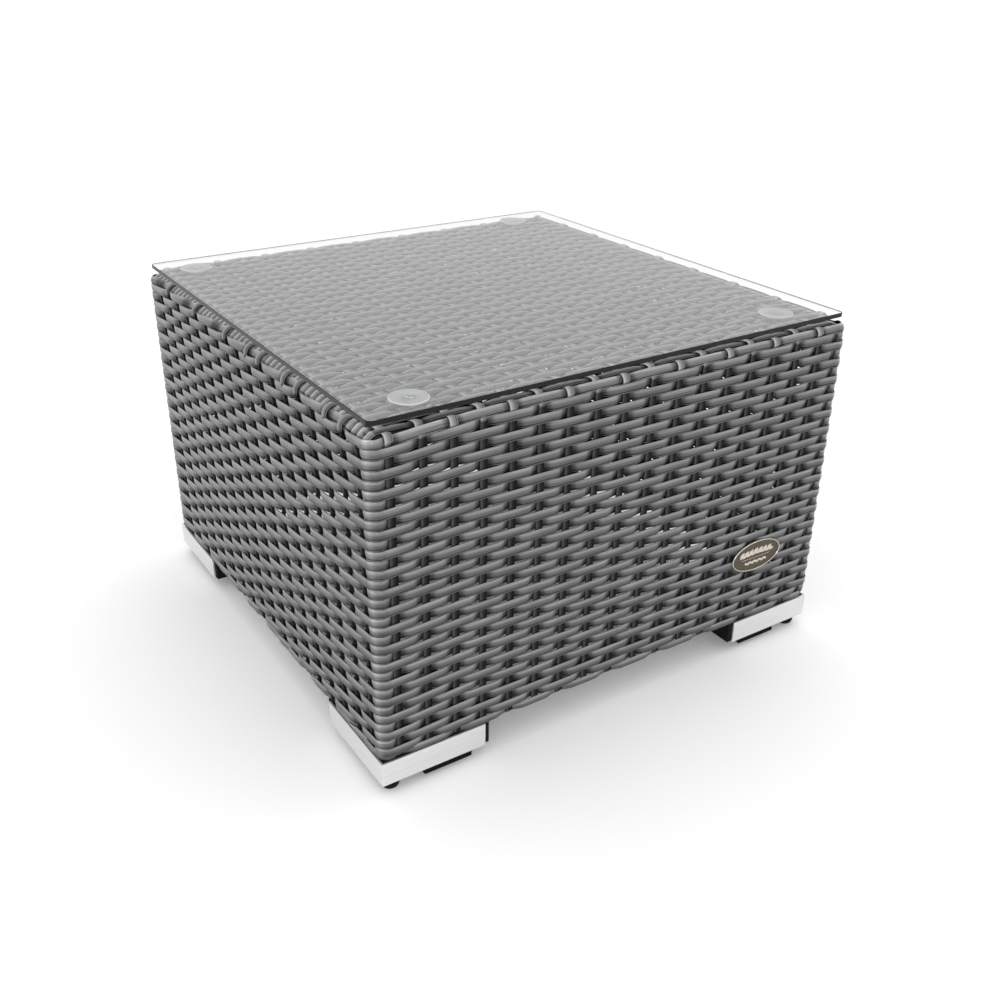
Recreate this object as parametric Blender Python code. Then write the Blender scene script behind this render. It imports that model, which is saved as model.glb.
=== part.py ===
"""Woven garden coffee table: a tube frame covered in flat strands, a loose glass top and four corner feet.

Metres, +Z up, the front (with the badge) faces -Y. The origin is on the ground under the table's centre.
"""

import math

import bmesh
import bpy
from mathutils import Matrix, Vector

# Driving dimensions.
SIDE = 0.600  # over the metal foot covers
GLASS_TOP = 0.410  # height of the glass surface
CLEAR = 0.0003  # gap between pieces that touch
EDGE = 0.0008  # chamfer on moulded and rubber edges

# Woven skin.
BODY = 0.597  # outside of the weave
WEAVE = 0.006  # thickness of the woven skin
BODY_CORNER = 0.0125
BODY_BOTTOM = 0.044
BODY_TOP = 0.400
TOP_ROUND = 0.0048  # round on the woven top's upper edge

# Glass and its discs.
GLASS_SIDE = 0.591
GLASS_THICK = 0.005
GLASS_CORNER = 0.006
GLASS_CHAMFER = 0.0007
DISC_R = 0.019
DISC_RIM = 0.0025  # width of the lip that grips the glass
DISC_LIP = 0.001
DISC_CUP_R = 0.006
DISC_CUP_DEPTH = 0.0008
DISC_NECK_R = 0.0075
DISC_NECK = (0.0015, 0.0025)  # from and to, above the disc's foot
DISC_FOOT_R = 0.012
DISC_FOOT_HEIGHT = 0.0008
DISC_PLACES = {
    "near_left": (-0.235, -0.258),
    "near_right": (0.233, -0.252),
    "far_left": (-0.251, 0.256),
    "far_right": (0.227, 0.266),
}

# Tube frame.
POST_R = 0.011
RAIL_R = 0.010
BAR_R = 0.008
TUBE_WALL = 0.0015
COPE_DEPTH = 0.002  # how far a rail's coped end stops short of the post's axis

# Feet.
FOOT_DROP = 0.015  # underside of the foot block above the ground
COVER_LEG = 0.122
COVER_HEIGHT = 0.0275
COVER_THICK = 0.002
COVER_ROUND = 0.0012
BLOCK_SIDE = 0.126
BLOCK_HEIGHT = 0.028
BRACKET_SIDE = 0.100
BRACKET_THICK = 0.003
BRACKET_BACK = 0.001  # behind the post's outside
PAD_START = 0.050  # from the table's outside corner
PAD_LENGTH = 0.057
PAD_WIDTH = 0.030
PAD_DROP = 0.0095
SCREW_PLACES = ((0.040, 0.090), (0.090, 0.040))  # from the table's outside corner
SCREW_R = 0.0025
SCREW_HEAD_R = 0.0045
SCREW_HEAD = (0.0035, 0.0077)  # from and to, above the block's underside
SCREW_POINT = 0.001
COUNTERBORE = 0.008

# Levelling glides.
GLIDE_INSET = 0.0155
GLIDE_R = 0.0105
GLIDE_HEIGHT = 0.0092
SOLE_R = 0.0055
DOME_HEIGHT = 0.006
SOCKET_FLOOR = 0.0032
STUD_R = 0.004
STUD_TOP = 0.0355
STUD_CHAMFER = 0.001
BORE_ROOF = 0.0015  # plastic left over the stud's bore
COLLAR_R = 0.0055
COLLAR_HEIGHT = 0.0025
INSERT_R = 0.007
INSERT_HEIGHT = 0.013

# Badge.
BADGE_PLACE = (0.1985, 0.132)  # x and z of its centre on the front
BADGE_WIDTH = 0.076
BADGE_HEIGHT = 0.039
BADGE_THICK = 0.0012
BADGE_FIELD = 0.0007  # thickness inside the rim, and of the edge below it
BADGE_RIM = (0.0006, 0.0018)  # the rim's flat top, in from the outside
BADGE_SLOPE_END = 0.0024
PRONG_R = 0.0015
PRONG_SPACING = 0.040

# Faces round each turned shape.
FINE = 24
MEDIUM = 16
SMALL = 12

# Worked out from the above.
HALF = SIDE / 2
BODY_HALF = BODY / 2
SKIN_INSIDE = BODY_HALF - WEAVE
POST_AT = SKIN_INSIDE - CLEAR - POST_R
SKIN_TOP = BODY_TOP - WEAVE - CLEAR  # top of the upright skins, and of the frame
BLOCK_TOP = FOOT_DROP + BLOCK_HEIGHT
BLOCK_OUT = HALF - COVER_THICK - CLEAR
FRAME_BOTTOM = BLOCK_TOP + CLEAR + BRACKET_THICK + CLEAR
CORNERS = {"front_left": (-1, -1), "front_right": (1, -1), "back_left": (-1, 1), "back_right": (1, 1)}


def clear_scene():
    for thing in list(bpy.data.objects):
        bpy.data.objects.remove(thing, do_unlink=True)


def material(name, colour, roughness, metallic=0.0, alpha=1.0):
    made = bpy.data.materials.get(name)
    if made is None:
        made = bpy.data.materials.new(name)
        made.use_nodes = True
        shader = made.node_tree.nodes["Principled BSDF"]
        shader.inputs["Base Color"].default_value = (*colour, 1.0)
        shader.inputs["Roughness"].default_value = roughness
        shader.inputs["Metallic"].default_value = metallic
        shader.inputs["Alpha"].default_value = alpha
    return made


def woven_strand():
    return material("woven_strand", (0.20, 0.20, 0.20), 0.45)


def tube_paint():
    return material("tube_paint", (0.045, 0.045, 0.047), 0.5, 0.6)


def brushed_aluminium():
    return material("brushed_aluminium", (0.72, 0.72, 0.72), 0.35, 1.0)


def black_plastic():
    return material("black_plastic", (0.012, 0.012, 0.013), 0.5)


def black_rubber():
    return material("black_rubber", (0.015, 0.015, 0.015), 0.8)


def zinc_steel():
    return material("zinc_steel", (0.55, 0.56, 0.58), 0.35, 1.0)


def clear_glass():
    return material("clear_glass", (0.86, 0.90, 0.88), 0.03, 0.0, 0.35)


def clear_vinyl():
    return material("clear_vinyl", (0.85, 0.86, 0.86), 0.2, 0.0, 0.6)


def antique_bronze():
    return material("antique_bronze", (0.16, 0.12, 0.075), 0.4, 1.0)


def add_object(name, bm, finish, place=(0, 0, 0), smooth=False):
    """A bmesh becomes an object at place, with its faces turned outwards."""
    bmesh.ops.recalc_face_normals(bm, faces=bm.faces)
    mesh = bpy.data.meshes.new(name)
    bm.to_mesh(mesh)
    bm.free()
    if smooth:
        mesh.shade_smooth()
        mesh.set_sharp_from_angle(angle=math.radians(40))
    mesh.materials.append(finish)
    made = bpy.data.objects.new(name, mesh)
    made.location = place
    bpy.context.scene.collection.objects.link(made)
    return made


def prism(outline, low, high):
    """A bmesh of a flat outline in X and Y, run from one height to another."""
    bm = bmesh.new()
    face = bm.faces.new([bm.verts.new((x, y, low)) for x, y in outline])
    rise = bmesh.ops.extrude_face_region(bm, geom=[face])
    moved = [item for item in rise["geom"] if isinstance(item, bmesh.types.BMVert)]
    bmesh.ops.translate(bm, verts=moved, vec=(0, 0, high - low))
    return bm


def arc(centre, radius, start, end, steps):
    """Points on an arc, angles in degrees."""
    found = []
    for step in range(steps + 1):
        angle = math.radians(start + (end - start) * step / steps)
        found.append((centre[0] + radius * math.cos(angle), centre[1] + radius * math.sin(angle)))
    return found


def rounded_square(half, radius, steps):
    """A square outline about the origin with round corners."""
    inner = half - radius
    found = []
    for start, (sx, sy) in ((0, (1, 1)), (90, (-1, 1)), (180, (-1, -1)), (270, (1, -1))):
        found += arc((sx * inner, sy * inner), radius, start, start + 90, steps)
    return found


def turned(profile, segments):
    """A bmesh turned about Z from a closed ring of (radius, height) points; radius 0 is the axis."""
    bm = bmesh.new()
    rings = []
    for radius, height in profile:
        if radius == 0:
            rings.append([bm.verts.new((0, 0, height))] * segments)
            continue
        ring = []
        for step in range(segments):
            angle = math.tau * step / segments
            ring.append(bm.verts.new((radius * math.cos(angle), radius * math.sin(angle), height)))
        rings.append(ring)
    for ring, following in zip(rings, rings[1:] + rings[:1]):
        for step in range(segments):
            after = (step + 1) % segments
            corners = []
            for vert in (ring[step], ring[after], following[after], following[step]):
                if vert not in corners:
                    corners.append(vert)
            if len(corners) > 2:
                bm.faces.new(corners)
    return bm


def bevel_edges(bm, edges, width, segments):
    bmesh.ops.bevel(bm, geom=list(edges), offset=width, segments=segments, profile=0.5, affect="EDGES")


def cut(body, cutter, operation="DIFFERENCE"):
    """Cuts a bmesh out of an object, or joins it on."""
    helper = add_object("cutter_" + body.name + str(len(body.modifiers)), cutter, black_plastic())
    helper.hide_render = True
    helper.display_type = "WIRE"
    boolean = body.modifiers.new("cut", "BOOLEAN")
    boolean.operation = operation
    boolean.object = helper


def round_bar(inside, radius, start, end, segments):
    """A bmesh of a round bar from one point to another, solid where inside is 0."""
    run = Vector(end) - Vector(start)
    bm = turned([(inside, 0), (radius, 0), (radius, run.length), (inside, run.length)], segments)
    turn = run.to_track_quat("Z", "Y").to_matrix().to_4x4()
    bmesh.ops.transform(bm, matrix=Matrix.Translation(start) @ turn, verts=bm.verts)
    return bm


def rod(radius, start, end, segments=FINE):
    return round_bar(0, radius, start, end, segments)


def tube(name, radius, start, end):
    """An open-ended frame tube from one point to another."""
    bm = round_bar(radius - TUBE_WALL, radius, start, end, MEDIUM)
    return add_object(name, bm, tube_paint(), smooth=True)


def frame_tubes():
    """Four posts, a rail between each two posts at top and bottom, and a cross-bar under the top."""
    for name, (sx, sy) in CORNERS.items():
        at = (sx * POST_AT, sy * POST_AT)
        tube("corner_post_" + name, POST_R, (*at, FRAME_BOTTOM), (*at, SKIN_TOP - CLEAR))
    levels = {"top": SKIN_TOP - CLEAR - RAIL_R, "bottom": FRAME_BOTTOM + RAIL_R}
    reach = POST_AT - COPE_DEPTH
    for level, height in levels.items():
        for side, sign in (("front", -1), ("back", 1)):
            at = sign * POST_AT
            rail = tube(f"{level}_rail_{side}", RAIL_R, (-reach, at, height), (reach, at, height))
            cope(rail, [(-POST_AT, at), (POST_AT, at)])
        for side, sign in (("left", -1), ("right", 1)):
            at = sign * POST_AT
            rail = tube(f"{level}_rail_{side}", RAIL_R, (at, -reach, height), (at, reach, height))
            cope(rail, [(at, -POST_AT), (at, POST_AT)])
            for line in (-POST_AT, POST_AT):
                cut(rail, rod(RAIL_R + CLEAR, (-HALF, line, height), (HALF, line, height)))
    height = SKIN_TOP - CLEAR - BAR_R
    bar = tube("top_cross_bar", BAR_R, (-reach, 0, height), (reach, 0, height))
    for line in (-POST_AT, POST_AT):
        cut(bar, rod(RAIL_R + CLEAR, (line, -HALF, levels["top"]), (line, HALF, levels["top"])))


def cope(rail, posts):
    """Cuts a rail's ends to the round of the posts that they meet."""
    for x, y in posts:
        cut(rail, rod(POST_R + CLEAR, (x, y, 0), (x, y, GLASS_TOP)))


def arc_depth(depth):
    """How far the rounded corner has moved in from the side face, at a depth behind the front face."""
    return BODY_CORNER - math.sqrt(BODY_CORNER**2 - (BODY_CORNER - depth) ** 2)


def corner_run(first, last):
    """Points of the rounded body corner between two depths, as (in from the side, depth)."""
    found = []
    for step in range(7):
        depth = first + (last - first) * step / 6
        found.append((arc_depth(depth), depth))
    return found


def upright_skin(name, first, last, turn):
    """One woven side. Its ends follow the body's round corner from depth first to depth last."""
    right = [(BODY_HALF - back, -BODY_HALF + depth) for back, depth in corner_run(first, last)]
    left = [(-x, y) for x, y in reversed(right)]
    bm = prism(right + left, BODY_BOTTOM, SKIN_TOP)
    bmesh.ops.rotate(bm, verts=bm.verts, matrix=Matrix.Rotation(math.radians(turn), 3, "Z"))
    return add_object(name, bm, woven_strand())


def side_skin(name, turn):
    """A woven side between the front and back ones: a flat skin whose ends carry on their round corners."""
    ends = corner_run(WEAVE + CLEAR, BODY_CORNER)
    low = [(-BODY_HALF + back, -BODY_HALF + depth) for back, depth in ends]
    high = [(x, -y) for x, y in reversed(low)]
    inner = [(-SKIN_INSIDE, high[-1][1]), (-SKIN_INSIDE, low[0][1])]
    bm = prism(low + high + inner, BODY_BOTTOM, SKIN_TOP)
    bmesh.ops.rotate(bm, verts=bm.verts, matrix=Matrix.Rotation(math.radians(turn), 3, "Z"))
    return add_object(name, bm, woven_strand())


def woven_skins():
    front = upright_skin("front_weave", 0.0, WEAVE, 0)
    for sign in (-1, 1):
        x = BADGE_PLACE[0] + sign * PRONG_SPACING / 2
        hole = rod(PRONG_R + CLEAR, (x, -HALF, BADGE_PLACE[1]), (x, -POST_AT, BADGE_PLACE[1]), SMALL)
        cut(front, hole)
    upright_skin("back_weave", 0.0, WEAVE, 180)
    side_skin("left_weave", 0)
    side_skin("right_weave", 180)
    top = prism(rounded_square(BODY_HALF, BODY_CORNER, 6), BODY_TOP - WEAVE, BODY_TOP)
    rim = [edge for edge in top.edges if all(vert.co.z > BODY_TOP - CLEAR for vert in edge.verts)]
    bevel_edges(top, rim, TOP_ROUND, 3)
    add_object("top_weave", top, woven_strand())


def glass_top():
    underside = GLASS_TOP - GLASS_THICK
    bm = prism(rounded_square(GLASS_SIDE / 2, GLASS_CORNER, 5), -GLASS_THICK / 2, GLASS_THICK / 2)
    rims = [edge for edge in bm.edges if edge.verts[0].co.z == edge.verts[1].co.z]
    bevel_edges(bm, rims, GLASS_CHAMFER, 1)
    add_object("glass_top", bm, clear_glass(), (0, 0, underside + GLASS_THICK / 2))


def glass_discs():
    """Clear suction discs that stand on the weave and hold the glass off it."""
    low = BODY_TOP + CLEAR
    high = GLASS_TOP - GLASS_THICK - CLEAR
    tall = high - low
    cup = tall - DISC_CUP_DEPTH
    profile = [(0, 0), (DISC_FOOT_R, 0), (DISC_FOOT_R, DISC_FOOT_HEIGHT)]
    profile += [(DISC_NECK_R, height) for height in DISC_NECK]
    profile += [(DISC_R, tall - DISC_LIP), (DISC_R, tall), (DISC_R - DISC_RIM, tall)]
    profile += [(DISC_CUP_R, cup), (0, cup)]
    for name, (x, y) in DISC_PLACES.items():
        add_object("glass_disc_" + name, turned(profile, FINE), clear_vinyl(), (x, y, low), smooth=True)


def block_bores(sx, sy):
    """The cutters that a foot block is bored with: its glide's bore, and the screws' holes."""
    glide = (sx * (HALF - GLIDE_INSET), sy * (HALF - GLIDE_INSET))
    seat_top = FOOT_DROP + CLEAR + INSERT_HEIGHT + CLEAR
    found = [
        rod(INSERT_R + CLEAR, (*glide, 0), (*glide, seat_top), MEDIUM),
        rod(STUD_R + 2 * CLEAR, (*glide, 0), (*glide, BLOCK_TOP - BORE_ROOF), MEDIUM),
    ]
    for x, y in SCREW_PLACES:
        at = (sx * (HALF - x), sy * (HALF - y))
        found.append(rod(SCREW_R + CLEAR, (*at, 0), (*at, GLASS_TOP), SMALL))
        found.append(rod(SCREW_HEAD_R + CLEAR, (*at, 0), (*at, FOOT_DROP + COUNTERBORE), SMALL))
    return found


def foot_block(name, sx, sy):
    near, far = BLOCK_OUT - BLOCK_SIDE, BLOCK_OUT
    corners = [(sx * near, sy * near), (sx * far, sy * near), (sx * far, sy * far), (sx * near, sy * far)]
    bm = prism(corners, FOOT_DROP, BLOCK_TOP)
    bevel_edges(bm, bm.edges, EDGE, 1)
    block = add_object("foot_block_" + name, bm, black_plastic())
    for bore in block_bores(sx, sy):
        cut(block, bore)


def foot_bracket(name, sx, sy):
    """Steel plate under the frame's corner that the foot is screwed to."""
    far = POST_AT + POST_R - BRACKET_BACK
    near = far - BRACKET_SIDE
    corners = [(sx * near, sy * near), (sx * far, sy * near), (sx * far, sy * far), (sx * near, sy * far)]
    low = BLOCK_TOP + CLEAR
    plate = add_object("foot_bracket_" + name, prism(corners, low, low + BRACKET_THICK), tube_paint())
    for x, y in SCREW_PLACES:
        at = (sx * (HALF - x), sy * (HALF - y))
        cut(plate, rod(SCREW_R + CLEAR, (*at, 0), (*at, GLASS_TOP), SMALL))


def foot_cover(name, sx, sy):
    """L-shaped metal cover round the outside of a foot."""
    out, inside, end = HALF, HALF - COVER_THICK, HALF - COVER_LEG
    outline = [(end, out), (out, out), (out, end), (inside, end), (inside, inside), (end, inside)]
    bm = prism([(sx * x, sy * y) for x, y in outline], FOOT_DROP, FOOT_DROP + COVER_HEIGHT)
    corner = [
        edge
        for edge in bm.edges
        if all(abs(abs(vert.co.x) - out) < 1e-6 and abs(abs(vert.co.y) - out) < 1e-6 for vert in edge.verts)
    ]
    bevel_edges(bm, corner, COVER_ROUND, 3)
    add_object("foot_cover_" + name, bm, brushed_aluminium())


def foot_pad(name, sx, sy):
    """Rubber pad under a foot, along the front or back side."""
    start, end = HALF - PAD_START, HALF - PAD_START - PAD_LENGTH
    out = BLOCK_OUT - CLEAR
    corners = [(sx * end, sy * (out - PAD_WIDTH)), (sx * start, sy * (out - PAD_WIDTH))]
    corners += [(sx * start, sy * out), (sx * end, sy * out)]
    bm = prism(corners, FOOT_DROP - PAD_DROP, FOOT_DROP - CLEAR)
    bevel_edges(bm, bm.edges, EDGE, 1)
    add_object("foot_pad_" + name, bm, black_rubber())


def foot_screw_profile():
    """A pan-head screw that runs up through a foot and ends flush with its bracket."""
    head_low, head_high = (FOOT_DROP + height for height in SCREW_HEAD)
    tip = BLOCK_TOP + CLEAR + BRACKET_THICK
    profile = [(0, head_low), (SCREW_HEAD_R, head_low), (SCREW_HEAD_R, head_high), (SCREW_R, head_high)]
    return profile + [(SCREW_R, tip - SCREW_POINT), (SCREW_R - SCREW_POINT, tip), (0, tip)]


def foot_screws(name, sx, sy):
    for number, (x, y) in enumerate(SCREW_PLACES, 1):
        at = (sx * (HALF - x), sy * (HALF - y), 0)
        screw = f"foot_screw_{name}_{number}"
        add_object(screw, turned(foot_screw_profile(), SMALL), zinc_steel(), at, smooth=True)


def glide_base_profile():
    """Domed plastic base with a flat sole, and a socket for the stud's collar in its top."""
    socket = COLLAR_R + CLEAR
    dome = []
    for step in range(5):
        angle = math.radians(90 * step / 4)
        dome.append((SOLE_R + (GLIDE_R - SOLE_R) * math.sin(angle), DOME_HEIGHT * (1 - math.cos(angle))))
    top = [(GLIDE_R, GLIDE_HEIGHT), (socket, GLIDE_HEIGHT), (socket, SOCKET_FLOOR), (0, SOCKET_FLOOR)]
    return [(0, 0)] + dome + top


def glide_stud_profile():
    """Stud with a collar at its foot, which turns in the base's socket."""
    low = SOCKET_FLOOR + CLEAR
    high = low + COLLAR_HEIGHT
    profile = [(0, low), (COLLAR_R, low), (COLLAR_R, high), (STUD_R, high + STUD_CHAMFER)]
    return profile + [(STUD_R, STUD_TOP - STUD_CHAMFER), (STUD_R - STUD_CHAMFER, STUD_TOP), (0, STUD_TOP)]


def glide(name, sx, sy):
    """A levelling glide: threaded insert in the block, stud that screws in it, and swivelling base."""
    at = (sx * (HALF - GLIDE_INSET), sy * (HALF - GLIDE_INSET), 0)
    low = FOOT_DROP + CLEAR
    bore = STUD_R + CLEAR
    ring = [(bore, low), (INSERT_R, low), (INSERT_R, low + INSERT_HEIGHT), (bore, low + INSERT_HEIGHT)]
    add_object("threaded_insert_" + name, turned(ring, MEDIUM), zinc_steel(), at, smooth=True)
    add_object("glide_stud_" + name, turned(glide_stud_profile(), MEDIUM), zinc_steel(), at, smooth=True)
    add_object("glide_base_" + name, turned(glide_base_profile(), FINE), black_plastic(), at, smooth=True)


def badge():
    """Oval cast badge with a raised rim, and two prongs on its back that hold it through the weave."""
    x, z = BADGE_PLACE
    back = -BODY_HALF - CLEAR
    steps = 36
    bm = bmesh.new()
    rings = []
    rim = [(inset, BADGE_THICK) for inset in BADGE_RIM]
    for inset, depth in [(0, 0), (0, BADGE_FIELD), *rim, (BADGE_SLOPE_END, BADGE_FIELD)]:
        ring = []
        for step in range(steps):
            angle = math.tau * step / steps
            wide = (BADGE_WIDTH / 2 - inset) * math.cos(angle)
            tall = (BADGE_HEIGHT / 2 - inset) * math.sin(angle)
            ring.append(bm.verts.new((x + wide, back - depth, z + tall)))
        rings.append(ring)
    for ring, following in zip(rings, rings[1:]):
        for step in range(steps):
            after = (step + 1) % steps
            bm.faces.new((ring[step], ring[after], following[after], following[step]))
    bm.faces.new(rings[0])
    bm.faces.new(rings[-1])
    plate = add_object("badge", bm, antique_bronze(), smooth=True)
    for sign in (-1, 1):
        px = x + sign * PRONG_SPACING / 2
        prong = rod(PRONG_R, (px, back - BADGE_FIELD / 2, z), (px, CLEAR - SKIN_INSIDE, z), SMALL)
        cut(plate, prong, "UNION")


def feet():
    for name, (sx, sy) in CORNERS.items():
        foot_block(name, sx, sy)
        foot_bracket(name, sx, sy)
        foot_cover(name, sx, sy)
        foot_pad(name, sx, sy)
        glide(name, sx, sy)
        foot_screws(name, sx, sy)


clear_scene()
frame_tubes()
woven_skins()
glass_top()
glass_discs()
feet()
badge()
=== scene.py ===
"""Looks of the wicker coffee table: woven strands, glass, metal, plastic, badge, floor, light and camera."""

import math
import bmesh
import bpy
import numpy as np
from mathutils import Matrix, Vector

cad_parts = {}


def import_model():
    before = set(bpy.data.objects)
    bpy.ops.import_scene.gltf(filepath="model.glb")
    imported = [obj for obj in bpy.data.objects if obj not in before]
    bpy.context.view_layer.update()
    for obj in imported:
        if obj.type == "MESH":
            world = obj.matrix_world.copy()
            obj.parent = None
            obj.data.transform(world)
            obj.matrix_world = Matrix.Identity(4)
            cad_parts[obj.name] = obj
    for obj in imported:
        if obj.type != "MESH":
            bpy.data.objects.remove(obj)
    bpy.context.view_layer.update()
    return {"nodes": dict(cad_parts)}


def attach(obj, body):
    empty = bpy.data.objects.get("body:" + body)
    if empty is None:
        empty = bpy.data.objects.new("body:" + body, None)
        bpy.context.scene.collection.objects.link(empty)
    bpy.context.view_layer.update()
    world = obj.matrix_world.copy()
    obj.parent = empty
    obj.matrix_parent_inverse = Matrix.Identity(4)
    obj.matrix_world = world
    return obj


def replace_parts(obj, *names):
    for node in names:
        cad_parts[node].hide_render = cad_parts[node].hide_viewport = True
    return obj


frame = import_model()
NODES = frame["nodes"]
SCENE = bpy.context.scene
RANDOM = np.random.default_rng(20)
UP = np.array([0.0, 0.0, 1.0])
CORNERS = ("front_left", "front_right", "back_left", "back_right")

# --- the woven skin, in metres ---
MID = 0.2975  # half side of the skin's middle surface
CORNER = 0.0105  # its corner radius in plan
STRAIGHT = 2 * (MID - CORNER)
QUARTER = CORNER * math.pi / 2
FACE = STRAIGHT + QUARTER
AROUND = 4 * FACE
RIM_LOW = 0.3895  # where the upper round starts
ROUND = 0.008
TOP_V = ROUND * math.pi / 2
LOW_START = 0.0475  # where the lower round starts
LOW_ROUND = 0.0035
LOW_V = LOW_START - RIM_LOW

ROW_PITCH = 0.01026
ROWS = 33
FIRST_ROW = -0.0043  # height of row 1, down from the start of the round
RIM_ROW = 0.0051
RIM_STEP = RIM_ROW - FIRST_ROW
FIRST_WEFT = 0.0150
WEFTS = 54
WEFT_PITCH = 2 * (MID - ROUND + TOP_V - FIRST_WEFT) / (WEFTS - 1)
CLIMB = 6  # rows by which the strands rise along the left side
LATE = 0.4  # rows by which they lag there, made up on the first part of the front
CATCH_UP = 0.10  # how far along the front that takes

STAKES = 70
ACROSS = 17  # stakes that run on over the top, front to back
LAST_BACK = 3 * ACROSS  # number of the last stake of the back; the left side's come after it
STAKE_PITCH = 0.0333
LEFT_PITCH = 0.0316
FIRST_STAKE = -0.2798
LAST_LEFT = -0.277  # y of the left side's stake nearest the front
STAKE_DRIFT = 0.0042

NEAR_SAG = 0.0028  # how much lower the rim lies at the front left corner
SAG_REACH = 0.16
WAVE = 0.00175  # how far a strand swings in or out at a stake
RIM_WAVE = 0.0007
STAKE_SWING = 0.00025
STRIP_SWING = 0.0015
CORNER_PUSH = 0.0010  # how far out the strands lie as they turn a corner
RIGHT_PUSH = 3  # times as far at the front right one
CORNER_FLAT = 0.65  # share of its swing that a strand loses there
DIVE = (0.42, 0.92)  # between two stakes: where a strand leaves the front, and where it is behind
STEPS = 8  # sections from one stake to the next
EXTRA_STEPS = 8  # more of them where a strand turns a corner
FINE_STEP = 0.0011  # between sections of a strand that turns over the rim
TURN_FROM = -0.007  # v from which a stake takes such steps
STAKE_FOOT = LOW_V - 0.0085  # v of a stake's lower end, under the bottom edge
TUCK_V = 0.0015  # how far down the ends of the top's wefts reach on the side
RIM_BEND = 0.9 / ROUND  # how much a strand curves across its width on the rim
HIDDEN_DEPTH = 0.0026  # how far behind the skin a stake ends that doesn't turn over the rim
ENDING_DEPTH = 0.0023  # how far behind it the wound strands run out
ROLL = 0.03  # how far a strand wanders from lying flat, in radians
STAKE_WIDTH = 0.92  # of a full strand's width

# --- tones, mostly painted shade and painted highlights: 1 is a strand's usual lightness ---
STAKE_SHADE = 0.20  # painted shade: the stakes in the sides darker, mostly for the shade of their recess behind the rows, partly a darker tone of their own
STRIP_HIGHLIGHT = 1.8  # painted highlight: the stakes brighter where they cross the rim
RIM_HIGHLIGHT = 1.55  # painted highlight: the wound strands brighter on the rim
RIB_HIGHLIGHT = 2.8  # painted highlight: the top's strands brighter where they turn over the side rims
TOP_TONE = 1.0
CORNER_HIGHLIGHT = 1.1  # painted highlight: added in a narrow bright line where a strand turns a corner
CORNER_HIGHLIGHT_REACH = 0.0032  # how wide that painted highlight is
DIVE_SHADE = 0.75  # painted shade: taken away where a strand is behind a stake

# --- a strand's section ---
# In millimetres: across (lower edge first), then out. The lower edge has a lip and a groove.
SECTION = np.array([
    (-4.70, -0.50), (-4.62, 0.25), (-3.85, 0.35), (-3.60, -0.45), (-3.15, -0.45), (-2.90, 0.60),
    (-2.20, 0.88), (0.80, 1.02), (3.60, 0.82), (4.50, 0.35), (4.70, -0.35), (4.30, -0.90),
    (-4.40, -0.90)]) / 1000
# How light each of those points is: painted shade makes the edges, groove and back darker than the face, and
# painted highlights lighten the upper edge and the lip.
SECTION_SHADE_AND_HIGHLIGHT = np.array([0.01, 0.70, 1.10, 0.01, 0.01, 0.45, 0.64, 1.00, 2.30, 2.00, 0.01, 0.02, 0.02])
GIRTH = np.concatenate([[0], np.cumsum(np.linalg.norm(np.roll(SECTION, -1, 0) - SECTION, axis=1))])
LANE = 1.2  # length of strand in each lane of the bake layout


def ring(s):
    """Point in plan and outward direction at distance s round the skin, counterclockwise from the front's
    left end."""
    s = np.mod(s, AROUND)
    face = np.floor(s / FACE)
    along = s - face * FACE
    turn = np.clip((along - STRAIGHT) / CORNER, 0, math.pi / 2)
    place = np.stack([CORNER - MID + np.minimum(along, STRAIGHT) + CORNER * np.sin(turn),
                      CORNER - MID - CORNER * np.cos(turn)], -1)
    out = np.stack([np.sin(turn), -np.cos(turn)], -1)
    c, n = np.cos(face * math.pi / 2), np.sin(face * math.pi / 2)

    def spin(p):
        return np.stack([p[..., 0] * c - p[..., 1] * n, p[..., 0] * n + p[..., 1] * c, 0 * c], -1)

    return spin(place), spin(out)


def shell(place, out, v, h):
    """Point and outward direction on the skin: v is the distance up from the start of the upper round, and h
    is how far out of the skin the point lies."""
    up = np.clip(v / ROUND, 0, math.pi / 2)
    low = np.maximum(LOW_V - v, 0)
    down = np.clip(low / LOW_ROUND, 0, math.pi / 2)
    inset = (ROUND * (1 - np.cos(up)) + np.maximum(v - TOP_V, 0)
             + LOW_ROUND * (1 - np.cos(down)) + np.maximum(low - LOW_ROUND * math.pi / 2, 0))
    z = RIM_LOW + np.clip(v, LOW_V, 0) + ROUND * np.sin(up) - LOW_ROUND * np.sin(down)
    tilt = (up - down)[:, None]
    normal = out * np.cos(tilt) + UP * np.sin(tilt)
    point = place - out * inset[:, None] + UP * z[:, None] + normal * h[:, None]
    away = np.hypot(point[:, 0] + MID, point[:, 1] + MID)
    point[:, 2] -= NEAR_SAG * (1 - ease(away, 0.0, SAG_REACH)) * ease(point[:, 2], 0.30, 0.39)
    return point, normal


def row_height(level):
    """v of a row; level 0 lies on the rim and row 1 is the first below it."""
    return np.where(level >= 1, FIRST_ROW - ROW_PITCH * (level - 1), FIRST_ROW + RIM_STEP * (1 - level))


def level_at(v):
    """The row number, as a real number, at height v: below zero it counts the wefts of the top."""
    level = np.where(v <= FIRST_ROW, 1 + (FIRST_ROW - v) / ROW_PITCH, 1 - (v - FIRST_ROW) / RIM_STEP)
    weft = (v - RIM_ROW) / (FIRST_WEFT - RIM_ROW)
    level = np.where(v > RIM_ROW, -weft, level)
    return np.where(v > FIRST_WEFT, -1 - (v - FIRST_WEFT) / WEFT_PITCH, level)


def ease(x, low, high):
    t = np.clip((x - low) / (high - low), 0, 1)
    return t * t * (3 - 2 * t)


def rim_share(level):
    """1 on the rim's own row and weft, falling to 0 one row further on each side."""
    return np.clip(np.minimum(1 - level, level + 2), 0, 1)


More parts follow.
